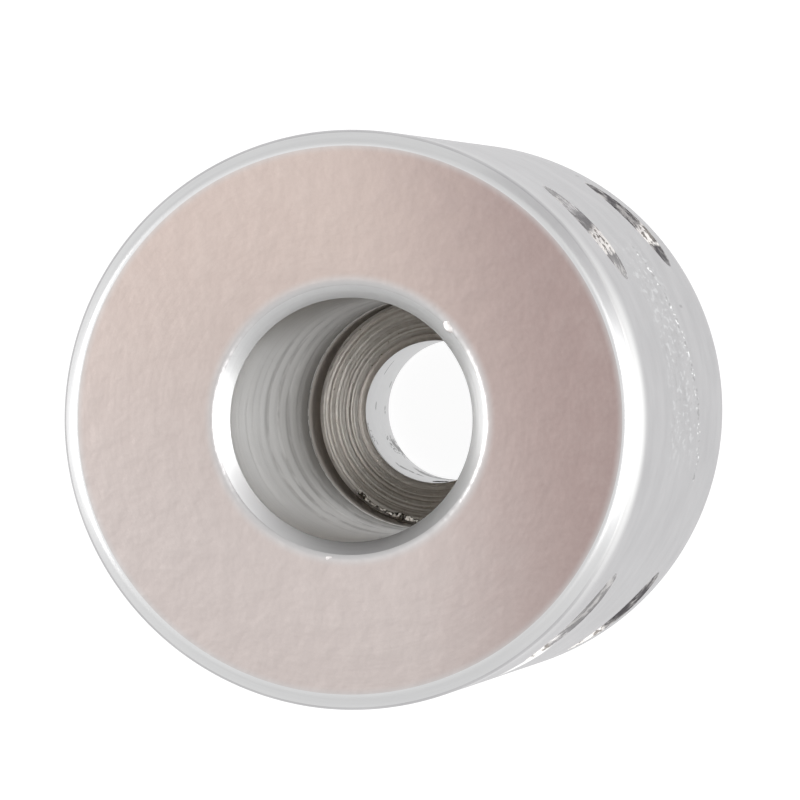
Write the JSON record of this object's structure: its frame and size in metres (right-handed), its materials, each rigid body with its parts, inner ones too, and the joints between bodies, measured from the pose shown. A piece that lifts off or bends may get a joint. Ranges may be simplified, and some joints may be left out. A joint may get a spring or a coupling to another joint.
{
  "type": "rigid shaft coupling",
  "caption": "Cylindrical metal shaft coupling with a stepped through bore, chamfered ends and radial set screws that clamp a thicker and a thinner shaft end to end.",
  "frame": {"origin": "centre of the back end face, the end with the smaller bore, which the coupling stands on", "axes": "+Z along the bore axis towards the front end with the larger bore; -Y faces out midway between the two rows of screws; +X to the right of that side"},
  "size_m": [0.019, 0.019, 0.03],
  "materials": {
    "turned_aluminium": "satin turned",
    "screw_steel": "black oxide"
  },
  "bodies": {
    "root": {"coupling_body": "turned_aluminium", "set_screw_front_right": "screw_steel", "set_screw_front_left": "screw_steel", "set_screw_back_right": "screw_steel", "set_screw_back_left": "screw_steel"}
  },
  "joints": []
}
